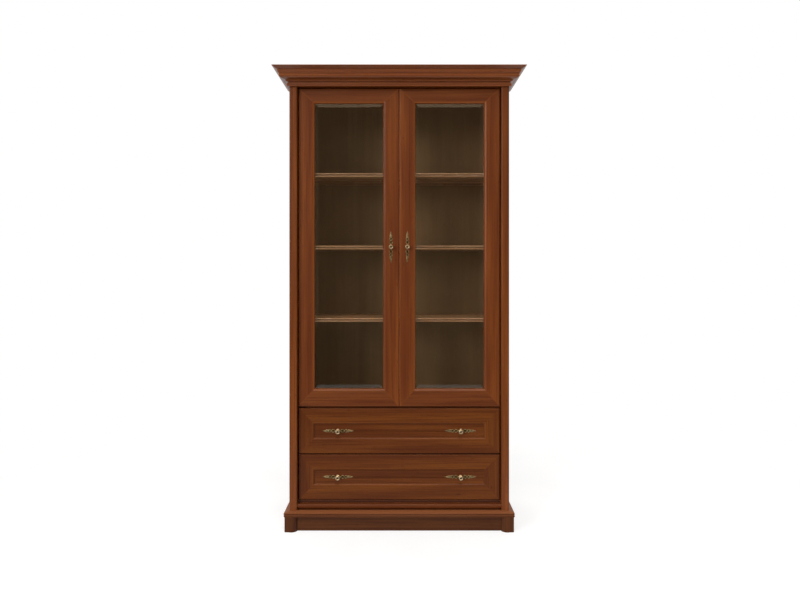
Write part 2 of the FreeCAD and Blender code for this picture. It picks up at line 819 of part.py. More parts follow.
# ---- The whole bookcase ----------------------------------------------------------------
def build():
    """Every node's solids, by name."""
    left_panel = side_panel()
    left_post = pilaster()
    dowels = [dowel(y, z) for y, z in dowel_places()]
    cornice_left = edge_moulding(*cornice_profile(), 0, "left")
    cap_left = edge_moulding(*cap_profile(), cap_seat, "left")
    foot = corner_foot()
    side_board = plinth_side()
    plinth_y = face_y - plinth_projection
    front_board_half = half_width + foot_projection - foot_length
    cap_inner = half_width - cap_seat
    side_inner = half_width + plinth_projection - plinth_thickness
    rear_foot = block((-side_inner, -cap_inner), (rear_y - rear_foot_depth, rear_y), (0, cap_z))
    arms = [hinge_arm(z) for z in hinge_heights]
    screws = hinge_screws()
    strips = [packing_strip(z) for z in drawer_heights.values()]
    runners = [runner(z) for z in drawer_heights.values()]

    nodes = {
        "left_side_panel": [left_panel],
        "right_side_panel": [mirror_x(left_panel)],
        "left_pilaster": [left_post],
        "right_pilaster": [mirror_x(left_post)],
        "top_panel": [case_panel(top_panel_z, panel_front_y)],
        "middle_panel": [case_panel(middle_panel_z, panel_front_y)],
        "bottom_panel": [case_panel(case_z, panel_front_y)],
        "back_panel": [block((-half_width + board - back_rebate, half_width - board + back_rebate),
                             (back_y, rear_y), (case_z, top_board_z))],
        "bottom_rail": [bottom_rail()],
        "top_rail": [top_rail()],
        "cornice_front": [edge_moulding(*cornice_profile(), 0, "front")],
        "cornice_left": [cornice_left],
        "cornice_right": [mirror_x(cornice_left)],
        "cornice_top_board": [block((-half_width, half_width), (face_y, rear_y),
                                    (top_board_z, top_board_z + top_board_thickness))],
        "plinth_front": [block((-front_board_half, front_board_half),
                               (plinth_y, plinth_y + plinth_thickness),
                               (plinth_clearance, cap_z))],
        "plinth_sides": [side_board, mirror_x(side_board)],
        "plinth_back": [block((-cap_inner, cap_inner), (rear_y - plinth_thickness, rear_y),
                              (plinth_clearance, case_z))],
        "plinth_cap": [edge_moulding(*cap_profile(), cap_seat, "front"), cap_left,
                       mirror_x(cap_left)],
        "left_corner_foot": [foot],
        "right_corner_foot": [mirror_x(foot)],
        "rear_feet": [rear_foot, mirror_x(rear_foot)],
        "shelf_pins": shelf_pins(),
        "carcass_dowels": dowels + [mirror_x(peg) for peg in dowels],
        "hinge_arms": arms + [mirror_x(arm) for arm in arms],
        "hinge_screws": screws + [mirror_x(screw) for screw in screws],
        "packing_strips": strips + [mirror_x(strip) for strip in strips],
        "drawer_runners": runners + [mirror_x(strip) for strip in runners],
    }
    for name, top in shelf_tops.items():
        nodes[name] = [shelf(top)]
    for name, solids in left_door().items():
        nodes["left_" + name] = solids
        nodes["right_" + name] = [mirror_x(solid) for solid in solids]
    for prefix, front_z in drawer_heights.items():
        for name, solids in drawer(front_z).items():
            nodes[prefix + "_" + name] = solids
    return nodes


os.makedirs("parts", exist_ok=True)
for node, solids in build().items():
    for solid in solids:
        if not solid.isValid() or solid.Volume <= 0:
            print("not a sound solid:", node)
    shape = solids[0] if len(solids) == 1 else Part.makeCompound(solids)
    shape.exportStep("parts/" + node + ".step")
    print(node, len(solids), round(shape.Volume))
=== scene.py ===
# %% [markdown]
# # A glazed bookcase in chestnut-stained wood
#
# The bookcase stands on a moulded plinth between two upright posts, under a
# wide cornice. Two doors with bevelled glass hang over two drawers, and cast
# brass plates carry the knobs. The boards, mouldings, hinges and drawer boxes
# come in as a fixed frame with every joint in its place, so this file is about
# what a cabinet maker does last: easing the edges, staining, lacquering, and
# fitting the glass and the brass.

# %% Load the frame and keep its size
import math
from dataclasses import dataclass, replace

import bmesh
import bpy
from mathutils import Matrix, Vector


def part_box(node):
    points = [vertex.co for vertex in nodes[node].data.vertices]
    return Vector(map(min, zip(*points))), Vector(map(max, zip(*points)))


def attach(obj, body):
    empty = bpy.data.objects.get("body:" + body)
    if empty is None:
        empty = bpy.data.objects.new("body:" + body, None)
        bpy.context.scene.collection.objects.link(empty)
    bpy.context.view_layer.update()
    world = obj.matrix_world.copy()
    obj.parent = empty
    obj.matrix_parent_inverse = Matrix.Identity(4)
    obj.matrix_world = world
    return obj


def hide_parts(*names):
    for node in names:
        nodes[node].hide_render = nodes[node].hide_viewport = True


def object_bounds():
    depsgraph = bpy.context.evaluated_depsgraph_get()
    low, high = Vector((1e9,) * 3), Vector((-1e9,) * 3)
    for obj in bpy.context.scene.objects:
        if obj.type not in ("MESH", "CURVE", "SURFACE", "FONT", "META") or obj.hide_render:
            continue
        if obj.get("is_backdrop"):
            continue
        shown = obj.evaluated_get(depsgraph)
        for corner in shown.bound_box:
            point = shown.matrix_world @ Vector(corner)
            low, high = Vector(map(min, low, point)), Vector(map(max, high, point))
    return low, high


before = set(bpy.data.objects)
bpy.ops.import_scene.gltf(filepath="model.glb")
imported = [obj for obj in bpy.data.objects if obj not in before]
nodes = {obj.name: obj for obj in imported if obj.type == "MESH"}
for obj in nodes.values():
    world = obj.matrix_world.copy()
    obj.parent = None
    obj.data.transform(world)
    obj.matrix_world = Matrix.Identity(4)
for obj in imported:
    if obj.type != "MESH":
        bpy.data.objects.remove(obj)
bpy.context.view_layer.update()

# %% [markdown]
# ## The camera
#
# A bookcase is drawn best from straight in front, at about chest height, with
# the camera held level so that the posts stay upright and parallel. A level
# camera would leave too much room above the cornice, so the lens is slid down
# a little instead of being tilted, as on a view camera.

# %% Set the camera
IMAGE_WIDTH, IMAGE_HEIGHT = 800, 601
FOCAL_PIXELS = 650.5
HORIZON_ROW = 266.0
SENSOR = 36.0
CAMERA_PLACE = Vector((0.0033, -2.9595, 1.147))
CAMERA_SIGHT = 60

camera = bpy.data.objects.new("camera", bpy.data.cameras.new("camera"))
bpy.context.scene.collection.objects.link(camera)
bpy.context.scene.camera = camera
camera.location = CAMERA_PLACE
camera.rotation_euler = (math.radians(90), 0, 0)
camera.data.sensor_width = SENSOR
camera.data.lens = FOCAL_PIXELS * SENSOR / IMAGE_WIDTH
camera.data.shift_y = (HORIZON_ROW - IMAGE_HEIGHT / 2) / IMAGE_WIDTH
camera.data.clip_end = CAMERA_SIGHT
print(f"lens {camera.data.lens:.2f} mm, slid by {camera.data.shift_y:.4f}")

# %% [markdown]
# ## Building materials from nodes
#
# A finish is a graph of small nodes, and a graph is hard to read back from
# calls that make and link them. Two small classes make it readable. A Reading
# is what one node gives out, and plus, minus, times and so on between readings
# add the Math nodes. A Finish is the material or the world, and its method
# called node makes any other node: settings first, then what its sockets take.


# %% A reading that does maths
class Reading:
    """What one socket of a finish gives out."""

    def __init__(self, finish, socket):
        self.finish, self.socket = finish, socket

    def other(self, output):
        """Another output of the same node."""
        return Reading(self.finish, self.socket.node.outputs[output])

    def maths(self, operation, *values):
        """A Math node on this reading and the values after it."""
        return self.finish.maths(operation, self, *values)

    def __add__(self, value):
        return self.maths("ADD", value)

    __radd__ = __add__

    def __mul__(self, value):
        return self.maths("MULTIPLY", value)

    __rmul__ = __mul__

    def __sub__(self, value):
        return self.maths("SUBTRACT", value)

    def __rsub__(self, value):
        return self.finish.maths("SUBTRACT", value, self)

    def __truediv__(self, value):
        return self.maths("DIVIDE", value)

    def __gt__(self, value):
        return self.maths("GREATER_THAN", value)

    def __abs__(self):
        return self.maths("ABSOLUTE")


print("a Reading takes + - * / > and abs()")


# %% A finish, which makes its nodes
class Finish:
    """A material or world that is built one node at a time."""

    def __init__(self, owner, output):
        owner.use_nodes = True
        self.owner, self.tree = owner, owner.node_tree
        self.tree.nodes.clear()
        self.end = self.tree.nodes.new(output)

    def node(self, kind, settings=None, sockets=None, out=0):
        """Adds a node with these settings, then fills its sockets. Gives output `out`."""
        made = self.tree.nodes.new(kind)
        for setting, value in (settings or {}).items():
            setattr(made, setting, value)
        for socket, value in (sockets or {}).items():
            if isinstance(value, Reading):
                self.tree.links.new(value.socket, made.inputs[socket])
            else:
                made.inputs[socket].default_value = value
        return Reading(self, made.outputs[out])

    def maths(self, operation, *values):
        """A Math node on numbers and readings."""
        return self.node("ShaderNodeMath", {"operation": operation}, dict(enumerate(values)))

    def mixed(self, amount, first, second):
        """Two shaders, mixed by an amount from 0 to 1."""
        return self.node("ShaderNodeMixShader", sockets={0: amount, 1: first, 2: second})

    def surface(self, shader):
        """Puts the last shader on, and gives the material or world back."""
        self.tree.links.new(shader.socket, self.end.inputs["Surface"])
        return self.owner


def new_finish(name):
    """An empty material with a name."""
    return Finish(bpy.data.materials.new(name), "ShaderNodeOutputMaterial")


print("a Finish adds its nodes behind one surface")

# %% [markdown]
# ## Colours, places and clouds
#
# Every finish below needs the same few things: a colour from a paint chart, a
# soft step from nothing to all, the place of a point on the bookcase in metres,
# a cloudy noise, and a bump. Each gets one small function, so that a finish
# reads as a list of what the maker sees.


# %% Colours
def stain(hex_colour):
    """A colour as a paint chart gives it, turned by the sRGB curve into light sent back."""
    channels = [int(hex_colour[i:i + 2], 16) / 255 for i in (0, 2, 4)]
    return tuple(c / 12.92 if c <= 0.04045 else ((c + 0.055) / 1.055) ** 2.4
                 for c in channels) + (1.0,)


def shaded(colour, share):
    """A darker colour below a share of 1, and a lighter one above it."""
    return tuple(min(1, c * share) for c in colour[:3]) + (1.0,)


def blend(amount, first, second):
    """Two colours, mixed by an amount from 0 to 1."""
    return amount.finish.node("ShaderNodeMix", {"data_type": "RGBA"},
                              {0: amount, 6: first, 7: second}, out=2)


print("a stained board sends back", [round(c, 3) for c in stain("6a3a1f")[:3]])


# %% Places, steps, clouds and bumps
def object_place(finish):
    """Where a point is on the bookcase, in metres."""
    return finish.node("ShaderNodeTexCoord", out="Object")


def part_of(vector, axis):
    """One part of a place or a direction."""
    return vector.finish.node("ShaderNodeSeparateXYZ", sockets={0: vector}, out=axis)


def between(reading, low, high):
    """0 below low, 1 above high, and smooth in between."""
    return reading.finish.node("ShaderNodeMapRange", {"interpolation_type": "SMOOTHSTEP"},
                               {"Value": reading, "From Min": low, "From Max": high})


def noise(vector, detail, roughness=0.5, scale=1.0):
    """A cloud between 0 and 1, with `scale` features to the metre."""
    return vector.finish.node("ShaderNodeTexNoise", sockets={
        "Vector": vector, "Scale": scale, "Detail": detail, "Roughness": roughness})


def bump(height, strength, distance):
    """A normal that follows small heights, up to a distance in metres."""
    return height.finish.node("ShaderNodeBump", sockets={
        "Strength": strength, "Distance": distance, "Height": height})


def distance_out(first, second):
    """How far a point is from the middle, from its places on two axes."""
    return (first * first + second * second).maths("SQRT")


print("places are in metres, and steps and clouds go from 0 to 1")

# %% [markdown]
# ## Grain
#
# Grain runs the length of a board, so every board needs to know which way it
# lies. Here the place on the object, in metres, is turned until the grain runs
# along the first axis, then shifted by a different amount for each node, as if
# each board were sawn from another part of the tree. All textures downstream
# are stretched along that axis.

# %% Lay the grain along a board
AXES = "XYZ"
TREE_SPREAD = 9.0


def board_place(finish, grain):
    """The place on a board as (along, across, through) the grain."""
    place = object_place(finish)
    if grain == "frame":
        return mitred_place(place)
    parts = part_of(place, "X")
    first = AXES.index(grain)
    return tuple(parts.other(AXES[(first + step) % 3]) for step in range(3))


def board_shift(finish):
    """How far each board's wood lies from the others' in the tree."""
    return finish.node("ShaderNodeObjectInfo", out="Random") * TREE_SPREAD


def stretched(place, shift, along, across):
    """Noise coordinates in which a feature is long along the grain and narrow across it."""
    a, c, t = place
    return shift.finish.node("ShaderNodeCombineXYZ", sockets={
        0: a * along + shift, 1: c * across + shift, 2: t * across})


print("grain runs along", ", ".join(AXES), "or round a mitred frame")

# %% [markdown]
# The front of a drawer is a frame of four lengths, cut at 45 degrees where they
# meet. One node holds all four, so the grain has to turn at the cuts: a point
# belongs to an upright length where the end of the frame is nearer than its top
# or bottom edge, and otherwise to a lying one.

# %% Turn the grain at the mitres of a drawer front
frame_low, frame_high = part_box("upper_drawer_frame")
FRAME_HEIGHT = frame_high.z - frame_low.z
FRAME_PITCH = frame_low.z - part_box("lower_drawer_frame")[0].z
OTHER_TREE = 3


def mitred_place(place):
    """On a mitred frame, a point belongs to the member whose outer edge is nearer."""
    x = part_of(place, "X")
    y, z = x.other("Y"), x.other("Z")
    row = (z - (frame_low.z - FRAME_PITCH)).maths("MODULO", FRAME_PITCH)
    from_end = frame_high.x - abs(x)
    from_edge = FRAME_HEIGHT / 2 - abs(row - FRAME_HEIGHT / 2)
    upright = from_edge > from_end
    lying = 1 - upright
    return x * lying + z * upright, z * lying + x * upright + upright * OTHER_TREE, y


print(f"drawer fronts {FRAME_HEIGHT:.3f} m high, {FRAME_PITCH:.3f} m apart")

# %% [markdown]
# ## Chestnut-stained wood
#
# The finish is a red-brown stain under thin satin lacquer. Up close it has six
# marks: broad soft bands where the board drank more or less stain, growth
# lines, narrow streaks, fine fibres, short dark pores, and here and there a dark
# fleck. The growth lines are rings round the heart of the tree. Each of the
# others is a noise, with one number for how often it comes along the grain, to
# the metre, and a larger one for across it.

# %% Growth lines
RING_SPACING, RING_WANDER, RING_LEAN = 0.0075, 0.035, 0.9
RING_DRIFT = (1.1, 5.0)
HEART_DEPTH, HEART_SHIFT = 0.045, 0.013


def growth_lines(place, shift):
    """Growth rings, cut where the board lies beside the heart of the tree."""
    along, across, through = place
    drift = noise(stretched(place, shift, *RING_DRIFT), detail=2.0)
    heart = across + (drift - 0.5) * RING_WANDER + shift * HEART_SHIFT
    ring = distance_out(heart, through + HEART_DEPTH) / RING_SPACING + along * RING_LEAN
    return ring.maths("FRACT")


print(f"growth lines every {RING_SPACING * 1000:.1f} mm")

# %% All the marks of a board
BANDS, STREAKS, FIBRES = (0.9, 17.0), (3.2, 130.0), (14.0, 900.0)
PORES, FLECKS = (45.0, 1500.0), (26.0, 120.0)
PORE_STEP, FLECK_STEP = (0.62, 0.74), (0.74, 0.80)
LATE_START, LATE_END = 0.35, 0.97


@dataclass
class Marks:
    """The marks of one board, each from 0 to 1. The late wood makes the growth lines."""
    bands: Reading
    streaks: Reading
    fibres: Reading
    pores: Reading
    flecks: Reading
    late: Reading


def grain_marks(finish, grain):
    """All six marks of a board whose grain lies one way."""
    place, shift = board_place(finish, grain), board_shift(finish)
    rings = growth_lines(place, shift)
    return Marks(
        bands=noise(stretched(place, shift, *BANDS), detail=3.0, roughness=0.55),
        streaks=noise(stretched(place, shift, *STREAKS), detail=4.0, roughness=0.6),
        fibres=noise(stretched(place, shift, *FIBRES), detail=3.0, roughness=0.6),
        pores=between(noise(stretched(place, shift, *PORES), detail=1.0), *PORE_STEP),
        flecks=between(noise(stretched(place, shift, *FLECKS), detail=1.0), *FLECK_STEP),
        late=between(rings, LATE_START, LATE_END) * (1 - between(rings, LATE_END, 1.0)))


print(f"a board shows {len(Marks.__annotations__)} marks")

# %% [markdown]
# Painted light and shade go on over the stain. The edges are painted a little
# lighter, mostly as highlight and a little as rubbing, and the quirks of the
# mouldings are painted darker, as shade. The Bevel node finds an edge: near one,
# its softened normal leans away from the true one. The Ambient Occlusion node
# finds a quirk, because little open air lies in front of it. Faces that look up
# and the rounds of mouldings get painted highlight too, and the normal tells them.

# %% Edges, quirks and the round of a moulding
EDGE_RADIUS, EDGE_STEP = 0.0034, (0.01, 0.22)
QUIRK_REACH, QUIRK_SOFTNESS = 0.010, 0.6
LOOKS_UP = (0.4, 0.9)
FACES_FRONT, FACES_SIDE = (0.80, 0.99), (0.10, 0.40)
RAYS = 4


def eased_edge(finish):
    """About 1 on a sharp or rounded edge, and 0 on a flat face."""
    smooth = finish.node("ShaderNodeBevel", {"samples": RAYS}, {"Radius": EDGE_RADIUS})
    true = finish.node("ShaderNodeNewGeometry", out="Normal")
    likeness = finish.node("ShaderNodeVectorMath", {"operation": "DOT_PRODUCT"},
                           {0: smooth, 1: true}, out="Value")
    return between(1 - likeness, *EDGE_STEP)


def quirk(finish, widest=0.85):
    """About 1 in a quirk, and 0 where more than the widest share of the air is open."""
    open_air = finish.node("ShaderNodeAmbientOcclusion", {"samples": RAYS},
                           {"Distance": QUIRK_REACH}, out="AO")
    return 1 - between(open_air, widest - QUIRK_SOFTNESS, widest)


def looks_up(finish):
    """1 where a face looks up, and 0 where it stands upright."""
    return between(part_of(finish.node("ShaderNodeNewGeometry", out="Normal"), "Z"), *LOOKS_UP)


def rolls_away(finish):
    """1 where a moulding rolls away from the front, and 0 on the front and the sides."""
    facing = abs(part_of(finish.node("ShaderNodeTexCoord", out="Normal"), "Y"))
    return (1 - between(facing, *FACES_FRONT)) * between(facing, *FACES_SIDE)


print(f"an edge is rubbed over {EDGE_RADIUS * 1000:.1f} mm")


# %% The recipe for a stained board
@dataclass
class Recipe:
    """A stain in three tones, the light and shade painted on it, and its lacquer."""
    pale: str
    middle: str
    dark: str
    figure: float = 0.45     # strength of the growth lines and streaks
    worn: float = 0.50       # how far edges are painted lighter: highlight, with a little rubbing
    gathered: float = 0.25   # how far painted shade darkens the quirks
    widest: float = 0.85     # share of open air at which a quirk ends
    dusted: float = 0.0      # how far faces that look up are painted lighter, as light from above
    moulded: float = 0.0     # the same painted highlight on the round of a moulding
    deepened: tuple = ()     # painted shade past a height: the height, 1 above it or -1 below it, how much darker
    gloss: float = 0.33      # roughness of the lacquer
    sheen: float = 0.20      # how much it mirrors


print(f"unless told otherwise, edges are rubbed by {Recipe.worn}")

# %% The colour of a board
SHADE_SHARE, RUBBED_SHARE = 0.35, 1.75
BAND_STEP, LINE_STEP = (0.34, 0.68), (0.3, 0.7)
STREAK_STEP, FIBRE_STEP = (0.42, 0.75), (0.35, 0.8)
FIBRE_SHARE, PORE_SHARE, FLECK_SHARE = 0.22, 0.5, 0.5


def board_colour(finish, marks, recipe):
    """The tones of the bare stain, darker along the lines of the grain."""
    pale, middle, dark = stain(recipe.pale), stain(recipe.middle), stain(recipe.dark)
    shade = shaded(dark, SHADE_SHARE)
    lines = marks.late * between(marks.streaks, *LINE_STEP)
    colour = blend(between(marks.bands, *BAND_STEP), middle, pale)
    colour = blend(lines * recipe.figure, colour, dark)
    colour = blend(between(marks.streaks, *STREAK_STEP) * recipe.figure, colour, dark)
    colour = blend(between(marks.fibres, *FIBRE_STEP) * FIBRE_SHARE, colour, dark)
    colour = blend(marks.pores * PORE_SHARE, colour, shade)
    return blend(marks.flecks * FLECK_SHARE, colour, shade)


print(f"pores and flecks send back {SHADE_SHARE} of what the dark tone does")

# %% The same colour with painted light and shade
STEP_SOFTNESS = 0.001


def hand_worked(finish, colour, recipe):
    """The same colour with painted highlights and painted shade on it."""
    shade = shaded(stain(recipe.dark), SHADE_SHARE)
    rubbed = shaded(stain(recipe.pale), RUBBED_SHARE)
    # painted light on faces that look up
    if recipe.dusted:
        colour = blend(looks_up(finish) * recipe.dusted, colour, rubbed)
    # painted highlight on the rounds of mouldings
    if recipe.moulded:
        colour = blend(rolls_away(finish) * recipe.moulded, colour, rubbed)
    # painted shade past a height, on the frieze and the upstand
    if recipe.deepened:
        start, way, amount = recipe.deepened
        past = (part_of(object_place(finish), "Z") - start) * way
        colour = blend(between(past, 0.0, STEP_SOFTNESS) * amount, colour, shade)
    # painted shade in the quirks and gaps
    colour = blend(quirk(finish, recipe.widest) * recipe.gathered, colour, shade)
    # painted highlight on the edges, with a little rubbing
    return blend(eased_edge(finish) * recipe.worn, colour, rubbed)


print(f"a rubbed edge sends back up to {RUBBED_SHARE} times the pale tone")

# %% The wood finish
PORE_BUMP, PORE_DEPTH = 0.22, 0.0005
FIBRE_RISE, PORE_FALL, LATE_FALL = 0.5, 0.9, 0.15
FIBRE_DULLS, PORE_DULLS, BAND_DULLS = 0.14, 0.16, 0.10


def wood(name, recipe, grain):
    """A stained board: its colour, its lacquer and the relief of its pores."""
    finish = new_finish(name)
    marks = grain_marks(finish, grain)
    colour = hand_worked(finish, board_colour(finish, marks, recipe), recipe)
    height = marks.fibres * FIBRE_RISE - marks.pores * PORE_FALL - marks.late * LATE_FALL
    roughness = (recipe.gloss + (marks.fibres - 0.5) * FIBRE_DULLS + marks.pores * PORE_DULLS
                 + (marks.bands - 0.5) * BAND_DULLS)
    return finish.surface(finish.node("ShaderNodeBsdfPrincipled", sockets={
        "Base Color": colour, "Roughness": roughness, "Specular IOR Level": recipe.sheen,
        "Normal": bump(height, PORE_BUMP, PORE_DEPTH)}))


print(f"the relief of the pores is {PORE_DEPTH * 1000:.1f} mm at most")

# %% [markdown]
# ## Which board gets which finish
#
# Stain never takes evenly on a whole piece of furniture. The mouldings of the
# cornice come out redder, the plinth and the drawers deeper, partly as painted
# shade towards the bottom, and the shelves lighter, with painted highlight on
# their edges. The frieze and the upstand behind the bottom rail get painted shade,
# so that the cornice and lower drawer stand out, and the top of the plinth gets
# painted light from above. Drawer boxes, runners and dowels stay unstained.

# %% Recipes for every kind of board
RAIL_FACE, FRIEZE = 0.024, 0.0195
# the frieze, under the cornice, and the upstand, in the gap under the lower drawer, get painted
# shade
upstand = (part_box("bottom_rail")[0].z + RAIL_FACE, 1, 0.75)
frieze = (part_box("cornice_front")[0].z + FRIEZE, -1, 0.20)

stile = Recipe("7b4017", "622e10", "4a1d08", moulded=0.6)
crosspiece = Recipe("743d18", "5c2b10", "461b09")
moulding = Recipe("8a4c24", "763a1a", "57260f", deepened=frieze)
RECIPES = {
    "case": Recipe("7f4318", "64300f", "4a1d08"),
    "bottom_rail": Recipe("74401e", "643216", "4a1d0c", worn=0.7, gathered=1.0,
                          deepened=upstand),
    # the front of the cornice gets more painted highlight and painted shade than its sides
    "cornice_front": replace(moulding, worn=0.7, gathered=0.45, gloss=0.28, sheen=0.35),
    "cornice_side": replace(moulding, gathered=0.15),
    # the plinth cap gets painted light on its top and painted shade where it meets the rail
    "plinth_cap": Recipe("653b22", "572e19", "401e0f", worn=0.25, gathered=0.95,
                         dusted=0.9, gloss=0.45, sheen=0.06),
    # the plinth is stained deeper, partly as painted shade towards the bottom
    "plinth": Recipe("573017", "48240f", "341607", sheen=0.12),
    "stile": stile,
    # stiles whose moulding faces the window lamp get less painted highlight on its round
    "sunny_stile": replace(stile, moulded=0.12),
    # the top rails of the doors, in the cornice's shadow, get more painted highlight than the
    # bottom rails
    "door_top": replace(crosspiece, worn=0.95, moulded=0.9),
    "door_bottom": replace(crosspiece, worn=0.3),
    # the drawers are stained deeper, partly as painted shade towards the bottom
    "drawer": Recipe("6e3b14", "572a0e", "401907", sheen=0.12),
    # pale shelves with painted highlight on their edges and painted shade in their groove
    "shelf": Recipe("bf8b66", "aa7450", "6a3621", worn=0.9, gathered=1.0, widest=1.08,
                    gloss=0.27, sheen=0.5),
    "back": Recipe("7b5c40", "6f5138", "5d4331", figure=0.12),
    "beech": Recipe("d2ab7c", "bf9566", "9c7043"),
    "box": Recipe("b79066", "a27b53", "83603c"),
}
print(f"{len(RECIPES)} recipes")

# %% Stain the boards
SIDES, LEVELS = ("left", "right"), ("lower", "upper")
BOARDS = {
    ("case", "Z"): ["left_side_panel", "right_side_panel", "left_pilaster", "right_pilaster"],
    ("case", "X"): ["top_panel", "middle_panel", "bottom_panel", "top_rail",
                    "cornice_top_board", "plinth_back"],
    ("bottom_rail", "X"): ["bottom_rail"],
    ("cornice_front", "X"): ["cornice_front"],
    ("cornice_side", "Y"): ["cornice_left", "cornice_right"],
    ("plinth_cap", "X"): ["plinth_cap"],
    ("plinth", "X"): ["plinth_front"],
    ("plinth", "Y"): ["plinth_sides"],
    ("plinth", "Z"): ["left_corner_foot", "right_corner_foot", "rear_feet"],
    ("stile", "Z"): ["left_door_outer_stile", "right_door_inner_stile"],
    ("sunny_stile", "Z"): ["left_door_inner_stile", "right_door_outer_stile"],
    ("door_top", "X"): [f"{side}_door_{part}" for side in SIDES
                        for part in ("top_rail", "glazing_beads")],
    ("door_bottom", "X"): [f"{side}_door_bottom_rail" for side in SIDES],
    ("drawer", "frame"): [f"{level}_drawer_frame" for level in LEVELS],
    ("drawer", "X"): [f"{level}_drawer_panel" for level in LEVELS],
    ("box", "Y"): [f"{level}_drawer_sides" for level in LEVELS],
    ("box", "X"): [f"{level}_drawer_{part}" for level in LEVELS for part in ("back", "bottom")],
    ("shelf", "X"): ["lower_shelf", "middle_shelf", "upper_shelf"],
    ("back", "Z"): ["back_panel"],
    ("beech", "Y"): ["packing_strips", "drawer_runners", "carcass_dowels"],
}


def dress(names, material):
    """Puts a material on every slot of some nodes."""
    for name in names:
        slots = nodes[name].data.materials
        for index in range(len(slots)):
            slots[index] = material


for (recipe, grain), names in BOARDS.items():
    dress(names, wood(f"{recipe}_wood_{grain}", RECIPES[recipe], grain))
print(f"{len(BOARDS)} wood finishes on {sum(map(len, BOARDS.values()))} nodes")

# %% [markdown]
# ## Brass and steel
#
# The handles are cast in brass and left to darken, and only fingers keep them
# bright. So the same metal is needed in three states: tarnished on the plate,
# rubbed on the knob, and nearly black in the sunk ground. Tarnish is less of a
# metal than brass is, so it lowers Metallic as well as the colour. The hinges,
# screws and shelf pins are plain nickelled steel.

# %% The metal finish
CLOUDS, SPECKS = 190.0, 1400.0
CLOUD_STEP, TARNISH_STEP = (0.3, 0.7), (0.42, 0.72)
QUIRK_TARNISH, EDGE_RUB, EDGE_SHARE = 0.75, 0.5, 1.35
TARNISH_COVERS, TARNISH_DULLS, SPECK_DULLS = 0.35, 0.25, 0.12
CAST_BUMP, CAST_DEPTH, SPECK_RISE = 0.25, 0.0003, 0.4


def metal(name, bright, dull, tarnish, gloss, tarnished):
    """Tones as on a paint chart, the roughness when clean, and how far tarnish goes."""
    finish = new_finish(name)
    bright, dull, tarnish = stain(bright), stain(dull), stain(tarnish)
    place = object_place(finish)
    cloud = noise(place, detail=5.0, scale=CLOUDS)
    speck = noise(place, detail=2.0, scale=SPECKS)
    dark = between(cloud, *TARNISH_STEP) * tarnished
    colour = blend(between(cloud, *CLOUD_STEP), bright, dull)
    colour = blend(dark, colour, tarnish)
    colour = blend(quirk(finish) * QUIRK_TARNISH, colour, tarnish)
    colour = blend(eased_edge(finish) * EDGE_RUB, colour, shaded(bright, EDGE_SHARE))
    return finish.surface(finish.node("ShaderNodeBsdfPrincipled", sockets={
        "Base Color": colour, "Metallic": 1 - dark * TARNISH_COVERS,
        "Roughness": gloss + dark * TARNISH_DULLS + (speck - 0.5) * SPECK_DULLS,
        "Normal": bump(cloud + speck * SPECK_RISE, CAST_BUMP, CAST_DEPTH)}))


print(f"tarnish gathers in clouds, {CLOUDS:.0f} to the metre")

# %% Brass in three states, and steel
PLATE, KNOB, GROUND = 0, 1, 2
BRASS = {
    PLATE: metal("antique_brass", "857657", "63573c", "241a0b", gloss=0.42, tarnished=0.9),
    KNOB: metal("rubbed_brass", "b3a488", "8f8062", "4a3a22", gloss=0.30, tarnished=0.45),
    GROUND: metal("unpolished_brass", "4c3c1e", "372a13", "1c1407", gloss=0.55, tarnished=0.9),
}
dress(["hinge_arms", "hinge_screws", "shelf_pins", "left_hinge_cups", "right_hinge_cups",
       "left_hinge_pins", "right_hinge_pins"],
      metal("nickelled_steel", "c4c2bd", "a3a19c", "5c5a57", gloss=0.30, tarnished=0.35))
print(f"brass in {len(BRASS)} states")

# %% [markdown]
# ## Bevelled glass
#
# A pane is clear, very faintly green, and never quite flat. Real glass bends
# light, which is slow to follow from the lamps to the shelves behind it. So the
# shader is glass only to rays that look at it, and plainly see-through to the
# rays that carry shadow and soft light.

# %% The glass finish
FILM, WAVES = 5.0, 2.2
FILM_DULLS = 0.04
WAVE_BUMP, WAVE_DEPTH = 0.006, 0.002
GLASS_BENDS = 1.5


def clear_glass(name):
    """Clear to look through, with a thin film on it and a slow wave in it."""
    finish = new_finish(name)
    place = object_place(finish)
    film = noise(place, detail=4.0, scale=FILM)
    wave = noise(place, detail=1.0, scale=WAVES)
    pane = finish.node("ShaderNodeBsdfPrincipled", sockets={
        "Base Color": blend(between(film, *CLOUD_STEP), stain("f4f6f3"), stain("eaefe9")),
        "Roughness": film * FILM_DULLS, "Normal": bump(wave, WAVE_BUMP, WAVE_DEPTH),
        "Transmission Weight": 1.0, "IOR": GLASS_BENDS})
    lets_light = finish.node("ShaderNodeBsdfTransparent", sockets={"Color": stain("eef2ee")})
    shadow = finish.node("ShaderNodeLightPath", out="Is Shadow Ray")
    carries_light = shadow.maths("MAXIMUM", shadow.other("Is Diffuse Ray"))
    return finish.surface(finish.mixed(carries_light, pane, lets_light))


dress(["left_door_glass", "right_door_glass"], clear_glass("bevelled_glass"))
print("two panes of bevelled glass")

# %% [markdown]
# ## The handles
#
# Every handle is a cast plate with a turned knob. Two ribbons leave the round
# boss on each side and cross twice on their way out, round a sunk ground that
# stays dark, with small buds beside the loops. A veined leaf closes each end,
# and fingers have rubbed the ring of the knob bright round its dimple. The
# plate is laid out along its own length, in metres from the middle of the knob,
# and one small function then lays it upright on a door or level on a drawer.
#
# Everything on it is a row of rings of points, skinned like the ribs of a boat:
# rings across a ribbon or a leaf, and circles for whatever a lathe would turn.

